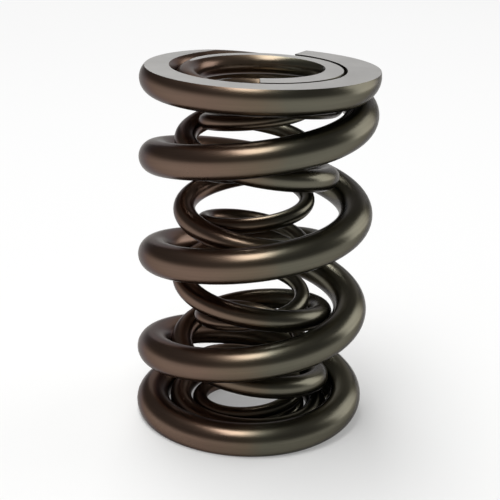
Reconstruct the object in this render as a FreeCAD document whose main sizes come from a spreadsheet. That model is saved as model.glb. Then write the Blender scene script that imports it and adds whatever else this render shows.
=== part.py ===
import FreeCAD, Part
import math
import os

# Engine valve spring: a nest of three round-wire compression springs around one axis.
# Each spring is closed at both ends and ground flat. The middle one is wound the other way,
# so the coils of neighbours cross and cannot drop between each other.
# The inner one is a little shorter than the other two, which share both ground planes.
# Origin: on the axis, in the plane of the lower ground faces. +Z runs up the axis.
# Front is -Y. Plan angles run from +X towards +Y. Lengths are in millimetres.

POINTS_PER_TURN = 18
UP = FreeCAD.Vector(0, 0, 1)

doc = FreeCAD.newDocument("valve_spring_nest")
sizes = doc.addObject("Spreadsheet::Sheet", "Sizes")
driving_sizes = []


def add_size(alias, value, meaning):
    """Write one driving size into the sheet: its name, its value and what it measures."""
    driving_sizes.append(alias)
    row = len(driving_sizes)
    sizes.set("A%d" % row, alias)
    sizes.set("B%d" % row, str(value))
    sizes.set("C%d" % row, meaning)
    sizes.setAlias("B%d" % row, alias)


add_size("free_length", 60.9, "between the ground faces of the outer and middle springs")
add_size("outer_diameter", 39.4, "over the outer spring's coils")
add_size("outer_wire", 5.65, "thickness of the outer spring's wire")
add_size("outer_turns", 5.133, "turns of the outer wire, tip to tip")
add_size("outer_start", 18, "plan angle of the outer spring's lower tip, degrees")
add_size("middle_clearance", 0.2, "radial room between the outer and middle springs")
add_size("middle_wire", 3.7, "thickness of the middle spring's wire")
add_size("middle_turns", 6.55, "turns of the middle wire, tip to tip")
add_size("middle_start", 108, "plan angle of the middle spring's lower tip, degrees")
add_size("inner_clearance", 0.25, "radial room between the middle and inner springs")
add_size("inner_wire", 2.6, "thickness of the inner spring's wire")
add_size("inner_turns", 8.245, "turns of the inner wire, tip to tip")
add_size("inner_start", 256, "plan angle of the inner spring's lower tip, degrees")
add_size("inner_length", 57.5, "between the ground faces of the inner spring")
add_size("outer_bedding", 1.35, "from a ground face of the outer spring to the centre of its end coil")
add_size("outer_end_pitch", 0.9, "rise per turn of the outer end coils")
add_size("outer_closed_turns", 0.55, "turns of that end pitch at each outer end")
add_size("outer_opened_turns", 1.25, "turns from an outer tip to the full pitch")
add_size("middle_bedding", 1.0, "from a ground face of the middle spring to the centre of its end coil")
add_size("middle_end_pitch", 1.0, "rise per turn of the middle end coils")
add_size("middle_closed_turns", 0.5, "turns of that end pitch at each middle end")
add_size("middle_opened_turns", 1.3, "turns from a middle tip to the full pitch")
add_size("inner_bedding", 0.8, "from a ground face of the inner spring to the centre of its end coil")
add_size("inner_end_pitch", 0.8, "rise per turn of the inner end coils")
add_size("inner_closed_turns", 0.55, "turns of that end pitch at each inner end")
add_size("inner_opened_turns", 1.35, "turns from an inner tip to the full pitch")
add_size("climb_turns", 0.3, "turns over which a tip climbs across the coil that passes it")
add_size("closing_gap", 0.15, "between a tip and the coil that passes it")
doc.recompute()


def smooth_step(share):
    """3u^2 - 2u^3: from 0 to 1 with no slope at either end."""
    share = min(max(share, 0.0), 1.0)
    return share * share * (3.0 - 2.0 * share)


def opened_turns_to(turns, closed_turns, opened_turns):
    """Share of the full pitch, added up over the turns from a tip.

    It is nothing over the closed turns, grows by the smooth step up to the opened turns, and
    counts every turn after that in full.
    """
    width = opened_turns - closed_turns
    share = min(max((turns - closed_turns) / width, 0.0), 1.0)
    return width * (share ** 3 - share ** 4 / 2.0) + max(turns - opened_turns, 0.0)


def centre_heights(name, wire, length, steps):
    """Heights of the wire's centre at equal steps from the lower tip to the upper one.

    The end coils lie nearly flat and the full pitch follows from the length that is left. A tip
    climbs to lie on the coil that passes it one turn on, closing_gap clear of it, and the part
    of it that stands past the ground face is ground away.
    """
    turns = getattr(sizes, name + "_turns")
    bedding = getattr(sizes, name + "_bedding")
    end_pitch = getattr(sizes, name + "_end_pitch")
    closed_turns = getattr(sizes, name + "_closed_turns")
    opened_turns = getattr(sizes, name + "_opened_turns")
    half_turns = turns / 2.0
    half_opened = opened_turns_to(half_turns, closed_turns, opened_turns)
    end_rise = end_pitch * (half_turns - half_opened)
    full_pitch = (length / 2.0 - bedding - end_rise) / half_opened
    first_opened = opened_turns_to(1.0, closed_turns, opened_turns)
    first_rise = end_pitch * (1.0 - first_opened) + full_pitch * first_opened
    climb = max(wire + sizes.closing_gap - first_rise, 0.0)
    heights = []
    for step in range(steps + 1):
        from_lower_tip = turns * step / steps
        from_nearer_tip = min(from_lower_tip, turns - from_lower_tip)
        opened = opened_turns_to(from_nearer_tip, closed_turns, opened_turns)
        rise = end_pitch * (from_nearer_tip - opened) + full_pitch * opened
        left_to_climb = climb * (1.0 - smooth_step(from_nearer_tip / sizes.climb_turns))
        from_face = bedding + rise - left_to_climb
        heights.append(from_face if from_lower_tip < half_turns else length - from_face)
    return heights


def coil_spans(mean_radius, heights, turns, hand):
    """Centre line of the coiled wire: one smooth curve, cut into spans of about a turn.

    The lower tip is at plan angle 0. hand is 1 for a right-hand coil and -1 for a left-hand one.
    """
    steps = len(heights) - 1
    points = []
    for step, height in enumerate(heights):
        angle = hand * 2.0 * math.pi * turns * step / steps
        points.append(FreeCAD.Vector(mean_radius * math.cos(angle), mean_radius * math.sin(angle), height))
    curve = Part.BSplineCurve()
    curve.interpolate(Points=points)
    cuts = [curve.parameter(point) for point in points[::POINTS_PER_TURN]]
    spans = [curve.toShape(low, high) for low, high in zip(cuts, cuts[1:])]
    return spans, curve.tangent(curve.FirstParameter)[0]


def closed_and_ground_spring(name, mean_radius, length, hand):
    """One spring: round wire swept along its coil, then ground flat at both ends.

    mean_radius and length are formulas of the sheet. The other sizes go by the spring's name.
    """
    wire = "Sizes." + name + "_wire"
    section = doc.addObject("Part::Circle", name + "_wire_section")
    section.setExpression("Radius", wire + " / 2")
    section.setExpression("Placement.Base.x", mean_radius)
    between_grinding_planes = doc.addObject("Part::Cylinder", name + "_between_grinding_planes")
    between_grinding_planes.setExpression("Radius", mean_radius + " + " + wire)
    between_grinding_planes.setExpression("Height", length)
    doc.recompute()

    turns = getattr(sizes, name + "_turns")
    steps = POINTS_PER_TURN * math.ceil(turns)
    wire_thickness = 2.0 * section.Radius.Value
    heights = centre_heights(name, wire_thickness, between_grinding_planes.Height.Value, steps)
    spans, direction = coil_spans(section.Placement.Base.x, heights, turns, hand)
    section.Placement.Base.z = heights[0]
    path = doc.addObject("Part::Feature", name + "_coil")
    path.Shape = Part.Wire(spans)
    section.Placement.Rotation = FreeCAD.Rotation(UP, direction)

    coiled_wire = doc.addObject("Part::Sweep", name + "_coiled_wire")
    coiled_wire.Sections = [section]
    coiled_wire.Spine = (path, ["Edge%d" % (number + 1) for number in range(len(spans))])
    coiled_wire.Solid = True
    coiled_wire.Frenet = True

    spring = doc.addObject("Part::Common", name + "_ground")
    spring.Label = name + "_spring"
    spring.Base = coiled_wire
    spring.Tool = between_grinding_planes
    spring.Placement = FreeCAD.Placement(FreeCAD.Vector(0, 0, 0), FreeCAD.Rotation(UP, 1))
    spring.setExpression("Placement.Rotation.Angle", "Sizes." + name + "_start * 1 deg")
    return spring


# Radii follow from the outer diameter inwards: wire, clearance, wire, clearance, wire.
outer_mean_radius = "(Sizes.outer_diameter - Sizes.outer_wire) / 2"
outer_bore_radius = "Sizes.outer_diameter / 2 - Sizes.outer_wire"
middle_mean_radius = outer_bore_radius + " - Sizes.middle_clearance - Sizes.middle_wire / 2"
middle_bore_radius = middle_mean_radius + " - Sizes.middle_wire / 2"
inner_mean_radius = middle_bore_radius + " - Sizes.inner_clearance - Sizes.inner_wire / 2"

springs = [
    closed_and_ground_spring("outer", outer_mean_radius, "Sizes.free_length", 1),
    closed_and_ground_spring("middle", middle_mean_radius, "Sizes.free_length", -1),
    closed_and_ground_spring("inner", inner_mean_radius, "Sizes.inner_length", 1),
]
doc.recompute()

for item in doc.Objects:
    if "Invalid" in item.State or "Error" in item.State:
        raise RuntimeError(item.Label + " did not build")
for spring in springs:
    if spring.Shape.isNull() or not spring.Shape.isValid():
        raise RuntimeError(spring.Label + " has no sound solid")
    if len(spring.Shape.Solids) != 1:
        raise RuntimeError(spring.Label + " is not one piece of wire")

os.makedirs("parts", exist_ok=True)
for spring in springs:
    spring.Shape.exportStep(os.path.join("parts", spring.Label + ".step"))
    print("%s: %.0f mm3 of wire" % (spring.Label, spring.Shape.Volume))
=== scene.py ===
# %% [markdown]
# A nest of engine valve springs, one lesson in Blender.
#
# The real object is three round-wire compression springs on one axis. The outer and inner springs
# are wound right-handed and the middle one left-handed, so their coils cross and cannot drop
# between each other. Both ends of each spring are closed (the last coil lies almost flat) and
# ground flat. All three stand in one plane. The outer and middle ones are equally long, and the
# inner one is a little shorter.
#
# The solids come from the CAD model, which is loaded first and never moved. Everything else is
# built round it, in metres, with +Z up the springs' axis.

# %% Load the CAD model
import math
import bpy
from mathutils import Matrix, Vector


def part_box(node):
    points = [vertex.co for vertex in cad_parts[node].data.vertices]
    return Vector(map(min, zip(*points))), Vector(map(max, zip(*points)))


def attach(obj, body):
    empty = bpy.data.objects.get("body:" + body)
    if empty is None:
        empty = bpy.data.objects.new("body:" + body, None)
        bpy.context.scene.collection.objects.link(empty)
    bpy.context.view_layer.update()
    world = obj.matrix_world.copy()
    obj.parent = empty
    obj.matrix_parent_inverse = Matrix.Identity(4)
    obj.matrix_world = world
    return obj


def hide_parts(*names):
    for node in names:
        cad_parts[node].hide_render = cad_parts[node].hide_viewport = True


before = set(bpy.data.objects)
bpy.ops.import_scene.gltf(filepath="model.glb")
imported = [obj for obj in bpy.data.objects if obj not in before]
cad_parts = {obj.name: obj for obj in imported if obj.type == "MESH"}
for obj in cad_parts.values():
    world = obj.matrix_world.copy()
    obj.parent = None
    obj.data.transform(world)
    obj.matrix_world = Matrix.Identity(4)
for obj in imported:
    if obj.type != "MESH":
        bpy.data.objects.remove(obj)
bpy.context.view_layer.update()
for name in sorted(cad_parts):
    low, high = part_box(name)
    size = (high - low) * 1000
    print("%s: %.1f x %.1f x %.1f mm" % (name, size.x, size.y, size.z))

# %% [markdown]
# Three small helpers are used all through. Lengths are written in millimetres, as on a drawing,
# and turned to metres. Colours are written as sRGB hex values, as a paint program shows them, and
# turned to the linear values that Blender computes with. Nodes are added by one function, which
# makes a node, sets its options and fills or links its inputs.

# %% Helpers
MM = 0.001
MATH = "ShaderNodeMath"


def linear_colour(hex_value):
    """'#rrggbb' in sRGB to linear red, green, blue and alpha 1."""
    parts = [int(hex_value[place:place + 2], 16) / 255 for place in (1, 3, 5)]
    linear = [part / 12.92 if part <= 0.04045 else ((part + 0.055) / 1.055) ** 2.4 for part in parts]
    return (*linear, 1.0)


def add_node(tree, kind, inputs=None, **options):
    """Add a node with its options. inputs maps a socket's name or number to what goes in there.

    That is a value, another node's output, or another node, which stands for its first output.
    A list of nodes fills a socket that takes several.
    """
    node = tree.nodes.new(kind)
    for option, value in options.items():
        setattr(node, option, value)
    for socket, value in (inputs or {}).items():
        for source in value if isinstance(value, list) else [value]:
            if isinstance(source, bpy.types.Node):
                source = source.outputs[0]
            if isinstance(source, bpy.types.NodeSocket):
                tree.links.new(source, node.inputs[socket])
            else:
                node.inputs[socket].default_value = source
    return node


# %% [markdown]
# A spring is drawn with a few numbers: how thick the wire is, how far its centre lies from the
# axis, the free length, and how many turns it has from tip to tip. The pitch, which is how far one
# turn rises, is small in the closed end coils and full in the working coils. At each tip the wire
# climbs a little, to lie on the coil that passes it. The full pitch isn't chosen: it follows from
# the length that is left once the end coils have taken their share, so it is worked out here.

# %% The sizes of the three springs
springs = {
    "outer": dict(wire=5.65, mean_radius=16.875, length=60.9, turns=5.133, start=18, hand=1,
                  bedding=1.35, end_pitch=0.9, closed_turns=0.55, opened_turns=1.25),
    "middle": dict(wire=3.7, mean_radius=12.0, length=60.9, turns=6.55, start=108, hand=-1,
                   bedding=1.0, end_pitch=1.0, closed_turns=0.5, opened_turns=1.3),
    "inner": dict(wire=2.6, mean_radius=8.6, length=57.5, turns=8.245, start=256, hand=1,
                  bedding=0.8, end_pitch=0.8, closed_turns=0.55, opened_turns=1.35),
}
CLIMB_TURNS = 0.3
CLOSING_GAP = 0.15


def opened_turns_by(turns, spring):
    """The full pitch's share, added up over the turns from a tip."""
    width = spring["opened_turns"] - spring["closed_turns"]
    share = min(max((turns - spring["closed_turns"]) / width, 0), 1)
    return width * (share ** 3 - share ** 4 / 2) + max(turns - spring["opened_turns"], 0)


for name, spring in springs.items():
    half_turns = spring["turns"] / 2
    half_opened = opened_turns_by(half_turns, spring)
    end_rise = spring["end_pitch"] * (half_turns - half_opened)
    spring["full_pitch"] = (spring["length"] / 2 - spring["bedding"] - end_rise) / half_opened
    first_opened = opened_turns_by(1, spring)
    first_rise = spring["end_pitch"] * (1 - first_opened) + spring["full_pitch"] * first_opened
    spring["climb"] = max(spring["wire"] + CLOSING_GAP - first_rise, 0)
    print("%s spring: full pitch %.2f mm, tip climbs %.2f mm" % (name, spring["full_pitch"], spring["climb"]))

# %% [markdown]
# The wire is round and follows one rule from tip to tip, so Geometry Nodes are the right tool: the
# same small tree makes all three springs from their numbers. It works in four steps. A straight
# line is cut into short steps and each point is moved to its place on the coil. A circle is swept
# along it. A cylinder as tall as the spring cuts both ends flat, as the grinding wheel does. Last,
# the flat faces get the ground finish and all the rest the wire's own finish.
#
# The first cell makes the tree and its named inputs.

# %% The tree and its inputs
tree = bpy.data.node_groups.new("closed and ground spring", "GeometryNodeTree")
for title, kind in (("Mean Radius", "Float"), ("Wire Thickness", "Float"), ("Length", "Float"),
                    ("Turns", "Float"), ("Start Angle", "Float"), ("Hand", "Float"),
                    ("Bedding", "Float"), ("End Pitch", "Float"), ("Full Pitch", "Float"),
                    ("Closed Turns", "Float"), ("Opened Turns", "Float"), ("Climb", "Float"),
                    ("Climb Turns", "Float"), ("Steps", "Int"), ("Sides", "Int"),
                    ("Wire Finish", "Material"), ("Ground Finish", "Material")):
    tree.interface.new_socket(title, in_out="INPUT", socket_type="NodeSocket" + kind)
tree.interface.new_socket("Spring", in_out="OUTPUT", socket_type="NodeSocketGeometry")
given = add_node(tree, "NodeGroupInput").outputs
print("inputs of the tree:", ", ".join(socket.name for socket in given if socket.name))

# %% [markdown]
# How high is the wire's centre? Counted in turns from the nearer tip, the pitch starts at the end
# pitch and grows smoothly to the full pitch. Adding it up gives the height above the nearer ground
# face. The upper half of the spring is the lower half turned over, so one formula serves both: a
# switch at mid height measures it down from the top instead of up from the bottom.

# %% Height of the wire's centre
along = add_node(tree, "GeometryNodeSplineParameter").outputs["Factor"]
turns_up = add_node(tree, MATH, {0: along, 1: given["Turns"]}, operation="MULTIPLY")
turns_down = add_node(tree, MATH, {0: given["Turns"], 1: turns_up}, operation="SUBTRACT")
from_tip = add_node(tree, MATH, {0: turns_up, 1: turns_down}, operation="MINIMUM")
share = add_node(tree, "ShaderNodeMapRange", {"Value": from_tip, "From Min": given["Closed Turns"],
                                              "From Max": given["Opened Turns"]})
cube = add_node(tree, MATH, {0: share, 1: 3}, operation="POWER")
half_share = add_node(tree, MATH, {0: share, 1: -0.5, 2: 1.0}, operation="MULTIPLY_ADD")
grown = add_node(tree, MATH, {0: cube, 1: half_share}, operation="MULTIPLY")
width = add_node(tree, MATH, {0: given["Opened Turns"], 1: given["Closed Turns"]}, operation="SUBTRACT")
past = add_node(tree, MATH, {0: from_tip, 1: given["Opened Turns"]}, operation="SUBTRACT")
past = add_node(tree, MATH, {0: past, 1: 0.0}, operation="MAXIMUM")
opened = add_node(tree, MATH, {0: width, 1: grown, 2: past}, operation="MULTIPLY_ADD")
flat = add_node(tree, MATH, {0: from_tip, 1: opened}, operation="SUBTRACT")
rise = add_node(tree, MATH, {0: flat, 1: given["End Pitch"], 2: given["Bedding"]}, operation="MULTIPLY_ADD")
rise = add_node(tree, MATH, {0: opened, 1: given["Full Pitch"], 2: rise}, operation="MULTIPLY_ADD")
left_to_climb = add_node(tree, "ShaderNodeMapRange", {
    "Value": from_tip, "From Min": 0.0, "From Max": given["Climb Turns"],
    "To Min": given["Climb"], "To Max": 0.0}, interpolation_type="SMOOTHSTEP")
from_face = add_node(tree, MATH, {0: rise, 1: left_to_climb}, operation="SUBTRACT")
from_top = add_node(tree, MATH, {0: given["Length"], 1: from_face}, operation="SUBTRACT")
is_upper = add_node(tree, MATH, {0: turns_up, 1: turns_down}, operation="GREATER_THAN")
height = add_node(tree, "GeometryNodeSwitch", {"Switch": is_upper, "False": from_face, "True": from_top},
                  input_type="FLOAT")

# %% [markdown]
# The angle grows evenly with the turns, and the hand (1 or -1) says which way round. A point is
# found by turning the place (mean radius, 0, height) about the axis by that angle.

# %% The coil's centre line
angle = add_node(tree, MATH, {0: turns_up, 1: given["Hand"]}, operation="MULTIPLY")
angle = add_node(tree, MATH, {0: angle, 1: math.tau, 2: given["Start Angle"]}, operation="MULTIPLY_ADD")
first = add_node(tree, "ShaderNodeCombineXYZ", {"X": given["Mean Radius"], "Z": height})
place = add_node(tree, "ShaderNodeVectorRotate", {"Vector": first, "Angle": angle}, rotation_type="Z_AXIS")
line = add_node(tree, "GeometryNodeCurvePrimitiveLine")
line = add_node(tree, "GeometryNodeResampleCurve", {"Curve": line, "Count": given["Steps"]})
coil = add_node(tree, "GeometryNodeSetPosition", {"Geometry": line, "Position": place})
coil = add_node(tree, "GeometryNodeSetCurveNormal", {"Curve": coil}, mode="Z_UP")

# %% [markdown]
# The finish has marks that run along the wire, so it has to know where along the wire each point
# is. That is kept from the centre line as two values: the centre's height and the length of wire
# up to there. They travel with the mesh through the sweep and the cut.

# %% Sweep the wire and grind it flat
centre_kept = add_node(tree, "GeometryNodeStoreNamedAttribute", {
    "Geometry": coil, "Name": "centre_height", "Value": height}, data_type="FLOAT")
arc = add_node(tree, "GeometryNodeSplineParameter").outputs["Length"]
arc_kept = add_node(tree, "GeometryNodeStoreNamedAttribute", {
    "Geometry": centre_kept, "Name": "wire_length", "Value": arc}, data_type="FLOAT")
half_wire = add_node(tree, MATH, {0: given["Wire Thickness"], 1: 0.5}, operation="MULTIPLY")
section = add_node(tree, "GeometryNodeCurvePrimitiveCircle", {
    "Resolution": given["Sides"], "Radius": half_wire})
wire = add_node(tree, "GeometryNodeCurveToMesh", {
    "Curve": arc_kept, "Profile Curve": section, "Fill Caps": True})
reach = add_node(tree, MATH, {0: given["Mean Radius"], 1: given["Wire Thickness"]}, operation="ADD")
block = add_node(tree, "GeometryNodeMeshCylinder", {
    "Vertices": 64, "Radius": reach, "Depth": given["Length"]})
half_length = add_node(tree, MATH, {0: given["Length"], 1: 0.5}, operation="MULTIPLY")
lift = add_node(tree, "ShaderNodeCombineXYZ", {"Z": half_length})
block = add_node(tree, "GeometryNodeSetPosition", {"Geometry": block, "Offset": lift})
ground = add_node(tree, "GeometryNodeMeshBoolean", {1: [wire, block]},
                  operation="INTERSECT", solver="MANIFOLD")

# %% [markdown]
# The wire is shaded smooth, and an edge where two faces meet at more than 30 degrees stays crisp:
# that is the rim of the ground face and of the cut tip. "wire_place" is made here from the kept
# values, in millimetres: out from the wire's centre, up from it, and along the wire.

# %% Shading, the wire's own coordinates and the two finishes
smooth = add_node(tree, "GeometryNodeSetShadeSmooth", {
    "Geometry": ground, "Shade Smooth": True}, domain="FACE")
bend = add_node(tree, "GeometryNodeInputMeshEdgeAngle").outputs["Unsigned Angle"]
is_crisp = add_node(tree, MATH, {0: bend, 1: math.radians(30)}, operation="GREATER_THAN")
crisp = add_node(tree, "GeometryNodeSetShadeSmooth", {
    "Geometry": smooth, "Selection": is_crisp, "Shade Smooth": False}, domain="EDGE")

position = add_node(tree, "GeometryNodeInputPosition")
spot = add_node(tree, "ShaderNodeSeparateXYZ", {"Vector": position}).outputs
level = add_node(tree, "ShaderNodeCombineXYZ", {"X": spot["X"], "Y": spot["Y"]})
radius = add_node(tree, "ShaderNodeVectorMath", {0: level}, operation="LENGTH").outputs["Value"]
outwards = add_node(tree, MATH, {0: radius, 1: given["Mean Radius"]}, operation="SUBTRACT")
kept_height = add_node(tree, "GeometryNodeInputNamedAttribute", {"Name": "centre_height"}, data_type="FLOAT")
kept_length = add_node(tree, "GeometryNodeInputNamedAttribute", {"Name": "wire_length"}, data_type="FLOAT")
upwards = add_node(tree, MATH, {0: spot["Z"], 1: kept_height}, operation="SUBTRACT")
wire_place = add_node(tree, "ShaderNodeCombineXYZ", {"X": outwards, "Y": upwards, "Z": kept_length})
wire_place = add_node(tree, "ShaderNodeVectorMath", {0: wire_place, "Scale": 1 / MM}, operation="SCALE")
marked = add_node(tree, "GeometryNodeStoreNamedAttribute", {
    "Geometry": crisp, "Name": "wire_place", "Value": wire_place}, data_type="FLOAT_VECTOR")

# A face is a ground one where it is level and lies in one of the two grinding planes.
normal = add_node(tree, "GeometryNodeInputNormal")
facing = add_node(tree, "ShaderNodeSeparateXYZ", {"Vector": normal}).outputs["Z"]
facing = add_node(tree, MATH, {0: facing}, operation="ABSOLUTE")
is_level = add_node(tree, MATH, {0: facing, 1: 0.99999}, operation="GREATER_THAN")
off_middle = add_node(tree, MATH, {0: spot["Z"], 1: half_length}, operation="SUBTRACT")
off_middle = add_node(tree, MATH, {0: off_middle}, operation="ABSOLUTE")
at_plane = add_node(tree, MATH, {0: off_middle, 1: half_length, 2: 0.01 * MM}, operation="COMPARE")
is_ground = add_node(tree, MATH, {0: is_level, 1: at_plane}, operation="MULTIPLY")
real = add_node(tree, "GeometryNodeRealizeInstances", {"Geometry": marked})
finished = add_node(tree, "GeometryNodeSetMaterial", {"Geometry": real, "Material": given["Wire Finish"]})
finished = add_node(tree, "GeometryNodeSetMaterial", {
    "Geometry": finished, "Selection": is_ground, "Material": given["Ground Finish"]})
add_node(tree, "NodeGroupOutput", {0: finished})
print("the tree has %d nodes" % len(tree.nodes))

# %% [markdown]
# Spring wire for racing engines is oil-tempered chrome-silicon steel. It is drawn through dies,
# hardened in oil and polished, and the last heat leaves a thin oxide film of dark bronze. To the
# eye it is a dark metal with a soft sheen, long faint draw marks and small patches of warmer and
# cooler tint. The colour is also painted coppery towards -X and olive towards +X. That is painted
# light: a warm light on one side and a cool one on the other, put into the colour. A metal's colour
# is its reflection, so the base colour is dark, metallic is 1 and the IOR stays at its default.
#
# The patterns read "wire_place", which is in millimetres. A noise pattern squeezed across the wire
# and stretched along it gives the draw marks.

# %% Material: oil-tempered chrome-silicon spring wire
wire_finish = bpy.data.materials.new("oil-tempered chrome-silicon spring wire")
wire_finish.use_nodes = True
shader = wire_finish.node_tree
steel = shader.nodes["Principled BSDF"]
steel.inputs["Metallic"].default_value = 1.0
# The oxide film keeps the metal dark at a glancing angle too, where bare steel would turn bright.
steel.inputs["Specular Tint"].default_value = linear_colour("#80786e")
# A thin coat of preserving oil, which adds a neutral gloss over the brown.
steel.inputs["Coat Weight"].default_value = 0.45
steel.inputs["Coat Roughness"].default_value = 0.25

wire_mm = add_node(shader, "ShaderNodeAttribute", attribute_name="wire_place").outputs["Vector"]
# Draw marks are a few hundredths of a millimetre apart. They are drawn 0.35 mm apart, to show.
stretched = add_node(shader, "ShaderNodeMapping", {"Vector": wire_mm, "Scale": (1 / 0.35, 1 / 0.35, 1 / 14)})
draw_marks = add_node(shader, "ShaderNodeTexNoise", {
    "Vector": stretched, "Scale": 1.0, "Detail": 3.0, "Roughness": 0.55})
patches = add_node(shader, "ShaderNodeTexNoise", {
    "Vector": wire_mm, "Scale": 1 / 9, "Detail": 4.0, "Roughness": 0.6})

object_place = add_node(shader, "ShaderNodeTexCoord").outputs["Object"]
across = add_node(shader, "ShaderNodeSeparateXYZ", {"Vector": object_place}).outputs["X"]
# Painted light: the base colour turns from coppery at -X to olive at +X, in place of a warm light on one side
# and a cool one on the other. The noise patches added on top are the wire's own random tint.
painted_light_and_patch_tint = add_node(shader, "ShaderNodeMapRange", {"Value": across, "From Min": -9 * MM, "From Max": 9 * MM})
painted_light_and_patch_tint = add_node(shader, MATH, {0: patches, 1: 0.5, 2: painted_light_and_patch_tint}, operation="MULTIPLY_ADD")
tint_ramp_with_painted_light = add_node(shader, "ShaderNodeValToRGB", {"Fac": painted_light_and_patch_tint})
# The ramp's colours, coppery at -X through to olive at +X, are that painted light tint.
tint_ramp_with_painted_light.color_ramp.elements[0].position = 0.3
tint_ramp_with_painted_light.color_ramp.elements[0].color = linear_colour("#6b5547")
tint_ramp_with_painted_light.color_ramp.elements[1].position = 1.0
tint_ramp_with_painted_light.color_ramp.elements[1].color = linear_colour("#5b584a")
middle_tint = tint_ramp_with_painted_light.color_ramp.elements.new(0.75)
middle_tint.color = linear_colour("#655746")
darker = add_node(shader, "ShaderNodeMapRange", {
    "Value": draw_marks, "From Min": 0.3, "From Max": 0.7, "To Min": 0.92, "To Max": 1.06})
colour = add_node(shader, "ShaderNodeVectorMath", {0: tint_ramp_with_painted_light, "Scale": darker}, operation="SCALE")
shader.links.new(colour.outputs[0], steel.inputs["Base Color"])

roughness = add_node(shader, "ShaderNodeMapRange", {
    "Value": patches, "From Min": 0.3, "From Max": 0.7, "To Min": 0.27, "To Max": 0.34})
shader.links.new(roughness.outputs[0], steel.inputs["Roughness"])
relief = add_node(shader, "ShaderNodeBump", {"Strength": 0.15, "Distance": 0.02 * MM, "Height": draw_marks})
shader.links.new(relief.outputs[0], steel.inputs["Normal"])
print("wire finish: %d nodes" % len(shader.nodes))

# %% [markdown]
# The ends are ground after coiling, between two abrasive wheels, which takes the oxide off and
# leaves bare steel: a lighter, neutral grey with fine straight scratches. The scratches follow the
# wheel and not the wire, so this pattern reads Object coordinates and is stretched along one
# direction across the whole end.

# %% Material: ground steel
ground_finish = bpy.data.materials.new("ground spring steel")
ground_finish.use_nodes = True
shader = ground_finish.node_tree
steel = shader.nodes["Principled BSDF"]
steel.inputs["Metallic"].default_value = 1.0

object_place = add_node(shader, "ShaderNodeTexCoord").outputs["Object"]
# The grit leaves scratches about 0.05 mm wide. They are drawn 0.2 mm wide, to show.
wheel_way = add_node(shader, "ShaderNodeMapping", {
    "Vector": object_place, "Rotation": (0, 0, math.radians(25)),
    "Scale": (1 / (9 * MM), 1 / (0.2 * MM), 1 / (9 * MM))})
scratches = add_node(shader, "ShaderNodeTexNoise", {"Vector": wheel_way, "Scale": 1.0, "Detail": 2.0})
cloud = add_node(shader, "ShaderNodeTexNoise", {"Vector": object_place, "Scale": 1 / (8 * MM), "Detail": 3.0})
shade = add_node(shader, MATH, {0: scratches, 1: 0.5, 2: cloud}, operation="MULTIPLY_ADD")
bare = add_node(shader, "ShaderNodeValToRGB", {"Fac": shade})
bare.color_ramp.elements[0].position = 0.45
bare.color_ramp.elements[0].color = linear_colour("#9a9895")
bare.color_ramp.elements[1].position = 1.0
bare.color_ramp.elements[1].color = linear_colour("#b1afac")
shader.links.new(bare.outputs[0], steel.inputs["Base Color"])
roughness = add_node(shader, "ShaderNodeMapRange", {"Value": scratches, "To Min": 0.28, "To Max": 0.42})
shader.links.new(roughness.outputs[0], steel.inputs["Roughness"])
relief = add_node(shader, "ShaderNodeBump", {"Strength": 0.2, "Distance": 0.01 * MM, "Height": scratches})
shader.links.new(relief.outputs[0], steel.inputs["Normal"])
print("ground finish: %d nodes" % len(shader.nodes))

# %% [markdown]
# Now the tree makes the springs. Each one is an empty mesh with the tree as its modifier. The
# inputs are set by the identifier of each socket. The result is then taken as a plain mesh and the
# modifier goes, so that each spring is an ordinary object at the origin.

# %% Make one spring
input_ids = {item.name: item.identifier for item in tree.interface.items_tree if item.in_out == "INPUT"}


def make_spring(name, spring, steps_per_turn, sides):
    """A spring as a plain mesh object, in metres, at the origin."""
    piece = bpy.data.objects.new(name, bpy.data.meshes.new(name))
    bpy.context.scene.collection.objects.link(piece)
    modifier = piece.modifiers.new("spring", "NODES")
    modifier.node_group = tree
    settings = {
        "Mean Radius": spring["mean_radius"] * MM, "Wire Thickness": spring["wire"] * MM,
        "Length": spring["length"] * MM, "Turns": spring["turns"],
        "Start Angle": math.radians(spring["start"]), "Hand": float(spring["hand"]),
        "Bedding": spring["bedding"] * MM, "End Pitch": spring["end_pitch"] * MM,
        "Full Pitch": spring["full_pitch"] * MM, "Closed Turns": spring["closed_turns"],
        "Opened Turns": spring["opened_turns"], "Climb": spring["climb"] * MM,
        "Climb Turns": CLIMB_TURNS, "Steps": round(steps_per_turn * spring["turns"]) + 1,
        "Sides": sides, "Wire Finish": wire_finish, "Ground Finish": ground_finish,
    }
    for title, value in settings.items():
        modifier[input_ids[title]] = value
    evaluated = piece.evaluated_get(bpy.context.evaluated_depsgraph_get())
    mesh = bpy.data.meshes.new_from_object(evaluated)
    piece.modifiers.remove(modifier)
    piece.data = mesh
    mesh.name = name
    triangles = sum(len(face.vertices) - 2 for face in mesh.polygons)
    top = max(vertex.co.z for vertex in mesh.vertices) / MM
    print("%s: %d triangles, %.2f mm tall" % (name, triangles, top))
    return piece


# %% [markdown]
# The three springs keep their real names. Each one stands for its CAD solid, which stays in the model
# for collision. The part has no moving joint, so all of it rides on the one body, root.

# %% The three springs
outer_coil = make_spring("outer_coil", springs["outer"], steps_per_turn=84, sides=64)
middle_coil = make_spring("middle_coil", springs["middle"], steps_per_turn=72, sides=48)
inner_coil = make_spring("inner_coil", springs["inner"], steps_per_turn=60, sides=40)
for piece, node in ((outer_coil, "outer_spring"), (middle_coil, "middle_spring"),
                    (inner_coil, "inner_spring")):
    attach(piece, "root")
    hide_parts(node)

# %% [markdown]
# A plain pale floor carries the spring. Round the spring it is mostly pale paper, which the lamps
# light to near white and which keeps the spring's shadow. Further out the lamps no longer reach
# it, so there a white glow takes over. The glow is for camera rays, and just the same for the
# glossy and transmission rays by which metal and glass show the background.

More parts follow.
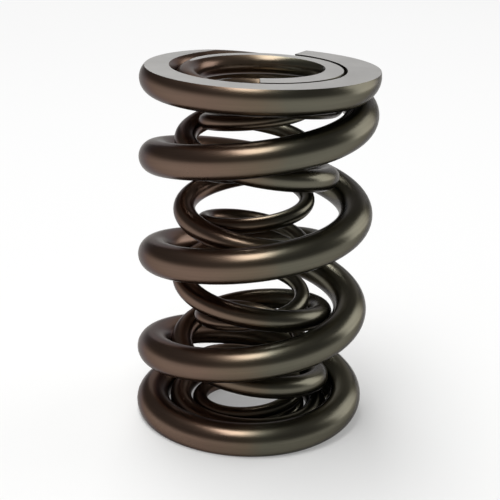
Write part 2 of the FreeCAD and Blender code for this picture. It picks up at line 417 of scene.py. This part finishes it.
# %% Floor
floor_mesh = bpy.data.meshes.new("floor")
floor_mesh.from_pydata([(-3, -3, 0), (3, -3, 0), (3, 3, 0), (-3, 3, 0)], [], [(0, 1, 2, 3)])
floor = bpy.data.objects.new("floor", floor_mesh)
bpy.context.scene.collection.objects.link(floor)

paper = bpy.data.materials.new("matt white paper")
paper.use_nodes = True
shader = paper.node_tree
matt = shader.nodes["Principled BSDF"]
matt.inputs["Base Color"].default_value = linear_colour("#dfdfde")
matt.inputs["Roughness"].default_value = 0.9
rays = add_node(shader, "ShaderNodeLightPath").outputs
seen = add_node(shader, MATH, {0: rays["Is Camera Ray"], 1: rays["Is Glossy Ray"]}, operation="MAXIMUM")
seen = add_node(shader, MATH, {0: seen, 1: rays["Is Transmission Ray"]}, operation="MAXIMUM")
floor_place = add_node(shader, "ShaderNodeTexCoord").outputs["Object"]
from_spring = add_node(shader, "ShaderNodeVectorMath", {0: floor_place}, operation="LENGTH").outputs["Value"]
share_of_glow = add_node(shader, "ShaderNodeMapRange", {
    "Value": from_spring, "From Min": 15 * MM, "From Max": 110 * MM, "To Min": 0.25, "To Max": 0.9},
    interpolation_type="SMOOTHSTEP")
seen = add_node(shader, MATH, {0: seen, 1: share_of_glow}, operation="MULTIPLY")
glow = add_node(shader, "ShaderNodeEmission", {"Strength": 1.0})
both = add_node(shader, "ShaderNodeMixShader", {0: seen, 1: matt, 2: glow})
shader.links.new(both.outputs[0], shader.nodes["Material Output"].inputs["Surface"])
floor_mesh.materials.append(paper)

# %% [markdown]
# The world stands for the rest of the studio: a light grey at the level of the horizon and a dim
# grey higher up, so that the coils have something dark to reflect beside the lamps. It is the same
# for every kind of ray.

# %% World
world = bpy.data.worlds.new("studio")
bpy.context.scene.world = world
world.use_nodes = True
shader = world.node_tree
way = add_node(shader, "ShaderNodeTexCoord").outputs["Generated"]
upwards = add_node(shader, "ShaderNodeSeparateXYZ", {"Vector": way}).outputs["Z"]
strength = add_node(shader, "ShaderNodeMapRange", {
    "Value": upwards, "From Min": 0.0, "From Max": 0.2, "To Min": 0.6, "To Max": 0.12},
    interpolation_type="SMOOTHSTEP")
shader.links.new(strength.outputs[0], shader.nodes["Background"].inputs["Strength"])
shader.nodes["Background"].inputs["Color"].default_value = (1, 1, 1, 1)

# %% [markdown]
# Polished wire shows its lamps as long highlights, so the lamps are softboxes. A long one overhead
# draws the bright line along the top of each coil. A dim one far behind lights the floor at the
# back, and one at the right lifts that flank out of the dark. Every lamp is aimed at the middle of
# the spring.

# %% Lamps
SPRING_MIDDLE = (0, 0, 0.03)


def add_softbox(name, place, size, power):
    """A rectangular area lamp aimed at the middle of the spring."""
    lamp = bpy.data.lights.new(name, "AREA")
    lamp.shape = "RECTANGLE"
    lamp.size, lamp.size_y = size
    lamp.energy = power
    softbox = bpy.data.objects.new(name, lamp)
    bpy.context.scene.collection.objects.link(softbox)
    towards = Vector(SPRING_MIDDLE) - Vector(place)
    softbox.location = place
    softbox.rotation_euler = towards.to_track_quat("-Z", "Y").to_euler()
    print("%s: %.1f W per square metre and steradian" % (name, power / (math.pi * size[0] * size[1])))


add_softbox("overhead softbox", (-0.06, 0.0, 0.36), (0.52, 0.14), 2.0)
add_softbox("back softbox", (0.05, 0.60, 0.22), (0.60, 0.24), 0.3)
add_softbox("right softbox", (0.42, 0.20, 0.18), (0.34, 0.34), 0.9)

# %% [markdown]
# The camera stands where the photographer's did: a little above the spring and close, so the coils
# lower down look less open than the top. It was found by matching the coils' outlines. Pan and tilt
# are small turns of the view and the roll leans the picture slightly.

# %% Camera
# The place is in millimetres and the three turns are in radians.
CAMERA_PLACE = (0, -194.76, 95.58)
PAN, TILT, ROLL = -0.0034, 0.3276, 0.0361
FOCAL_PIXELS, PICTURE_PIXELS = 1205, 500
SENSOR_WIDTH = 36
forward = Vector((math.sin(PAN) * math.cos(TILT), math.cos(PAN) * math.cos(TILT), -math.sin(TILT)))
level_right = Vector((math.cos(PAN), -math.sin(PAN), 0))
level_up = level_right.cross(forward)
right = math.cos(ROLL) * level_right + math.sin(ROLL) * level_up
up = math.cos(ROLL) * level_up - math.sin(ROLL) * level_right

camera_data = bpy.data.cameras.new("camera")
camera_data.sensor_width = SENSOR_WIDTH
camera_data.lens = FOCAL_PIXELS / PICTURE_PIXELS * SENSOR_WIDTH
camera_data.clip_start = 0.01
camera = bpy.data.objects.new("camera", camera_data)
bpy.context.scene.collection.objects.link(camera)
turn = Matrix((right, up, -forward)).transposed().to_4x4()
camera.matrix_world = Matrix.Translation(Vector(CAMERA_PLACE) * MM) @ turn
bpy.context.scene.camera = camera
bpy.context.scene.view_settings.view_transform = "Standard"
